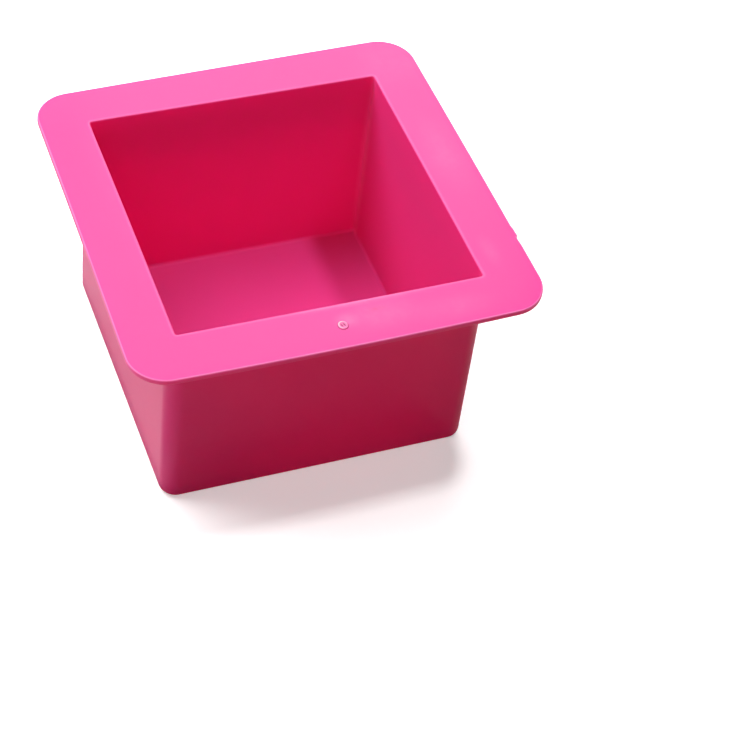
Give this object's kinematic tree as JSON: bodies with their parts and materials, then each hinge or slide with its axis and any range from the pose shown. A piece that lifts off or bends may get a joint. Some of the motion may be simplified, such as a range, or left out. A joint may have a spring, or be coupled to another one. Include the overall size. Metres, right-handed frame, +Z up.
{
  "type": "soap loaf mould",
  "caption": "Square one-piece silicone loaf mould for soap and resin: deep straight-walled cavity, flat rounded rim, walls and floor that flex to release the casting.",
  "frame": {"origin": "middle of the underside, on the surface that the mould stands on", "axes": "+Z up out of the opening, +X to the right and -Y to the front, where the gate mark is"},
  "size_m": [0.134, 0.134, 0.0749],
  "materials": {
    "silicone_rim": "satin",
    "silicone_body": "satin",
    "silicone_gate": "gloss"
  },
  "bodies": {
    "shell": {"foot_front": "silicone_body", "foot_right": "silicone_body", "foot_rear": "silicone_body", "foot_left": "silicone_body", "corner_post_rear_right": "silicone_body", "corner_post_rear_left": "silicone_body", "corner_post_front_left": "silicone_body", "corner_post_front_right": "silicone_body", "rim_corner_rear_right": "silicone_rim", "rim_corner_rear_left": "silicone_rim", "rim_corner_front_left": "silicone_rim", "rim_corner_front_right": "silicone_rim"},
    "front_wall": {"wall_front": "silicone_body", "rim_front": "silicone_rim", "gate_mark": "silicone_gate"},
    "right_wall": {"wall_right": "silicone_body", "rim_right": "silicone_rim"},
    "rear_wall": {"wall_rear": "silicone_body", "rim_rear": "silicone_rim"},
    "left_wall": {"wall_left": "silicone_body", "rim_left": "silicone_rim"},
    "floor": {"floor_panel": "silicone_body"}
  },
  "joints": [
    {"name": "front_wall_flex", "type": "hinge", "parent": "shell", "child": "front_wall", "pos_m": [0, -0.0525, 0.006], "axis": [1, 0, 0], "range_deg": [0, 8], "stiffness_Nm_per_rad": 1.5},
    {"name": "right_wall_flex", "type": "hinge", "parent": "shell", "child": "right_wall", "pos_m": [0.0525, 0, 0.006], "axis": [0, 1, 0], "range_deg": [0, 8], "stiffness_Nm_per_rad": 1.5},
    {"name": "rear_wall_flex", "type": "hinge", "parent": "shell", "child": "rear_wall", "pos_m": [0, 0.0525, 0.006], "axis": [-1, 0, 0], "range_deg": [0, 8], "stiffness_Nm_per_rad": 1.5},
    {"name": "left_wall_flex", "type": "hinge", "parent": "shell", "child": "left_wall", "pos_m": [-0.0525, 0, 0.006], "axis": [0, -1, 0], "range_deg": [0, 8], "stiffness_Nm_per_rad": 1.5},
    {"name": "floor_push", "type": "slide", "parent": "shell", "child": "floor", "axis": [0, 0, 1], "range_m": [0, 0.008], "stiffness_N_per_m": 1200}
  ]
}
